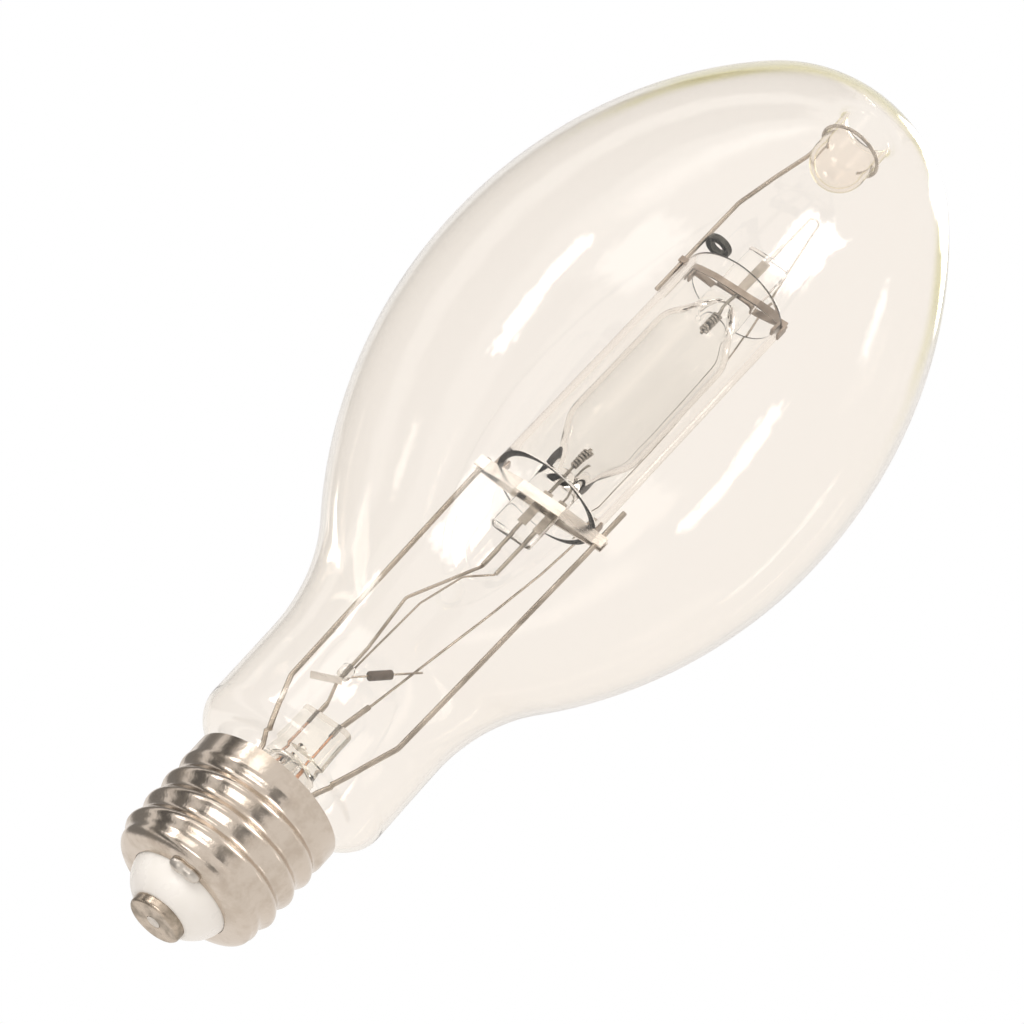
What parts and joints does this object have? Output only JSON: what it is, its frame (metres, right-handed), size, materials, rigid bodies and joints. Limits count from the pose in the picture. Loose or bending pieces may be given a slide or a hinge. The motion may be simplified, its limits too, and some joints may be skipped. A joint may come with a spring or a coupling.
{
  "type": "high intensity discharge lamp",
  "caption": "Clear elliptical discharge lamp with a dimpled crown, a shrouded arc tube on a wire frame, and a large right-hand screw base with a centre contact.",
  "frame": {"origin": "on the lamp's axis at the flat tip of the centre contact", "axes": "+Z along the axis, from the base to the crown; +X to the right in the picture, which looks at the side facing -Y from below"},
  "size_m": [0.1174, 0.1174, 0.2758],
  "materials": {
    "nickel_shell": "satin nickel plate",
    "insulator_glass": "gloss",
    "contact_brass": "satin",
    "solder": "satin",
    "cement": "matt",
    "bulb_glass": "clear",
    "stem_glass": "clear",
    "quartz": "clear",
    "copper_wire": "satin",
    "nickel_wire": "satin",
    "steel_strip": "satin",
    "tungsten": "matt",
    "molybdenum": "satin",
    "resistor_body": "matt",
    "getter_metal": "matt"
  },
  "bodies": {
    "root": {"screw_shell": "nickel_shell", "insulator": "insulator_glass", "centre_contact": "contact_brass", "contact_solder": "solder", "side_solder": "solder", "capping_cement": "cement", "outer_bulb": "bulb_glass", "stem_glass": "stem_glass", "exhaust_tube": "stem_glass", "contact_lead": "copper_wire", "shell_lead": "copper_wire", "live_seal_wire": "copper_wire", "return_seal_wire": "copper_wire", "live_post": "nickel_wire", "return_post": "nickel_wire", "stem_clamp": "steel_strip", "frame_rod_left": "nickel_wire", "frame_rod_right": "nickel_wire", "lower_strap_front": "steel_strip", "lower_strap_back": "steel_strip", "upper_strap_front": "steel_strip", "upper_strap_back": "steel_strip", "lower_clip_left": "steel_strip", "lower_clip_right": "steel_strip", "upper_clip_left": "steel_strip", "upper_clip_right": "steel_strip", "shroud": "quartz", "arc_tube": "quartz", "lower_electrode": "tungsten", "upper_electrode": "tungsten", "starting_probe": "tungsten", "lower_foil": "molybdenum", "upper_foil": "molybdenum", "probe_foil": "molybdenum", "lower_seal_lead": "molybdenum", "upper_seal_lead": "molybdenum", "probe_seal_lead": "molybdenum", "live_link": "nickel_wire", "probe_link": "nickel_wire", "return_wire": "nickel_wire", "weld_tab": "steel_strip", "starting_resistor": "resistor_body", "resistor_lead_lower": "nickel_wire", "resistor_lead_upper": "nickel_wire", "insulating_bead": "stem_glass", "bimetal_switch": "steel_strip", "top_wire": "nickel_wire", "dimple_ring": "nickel_wire", "getter": "getter_metal"}
  },
  "joints": []
}
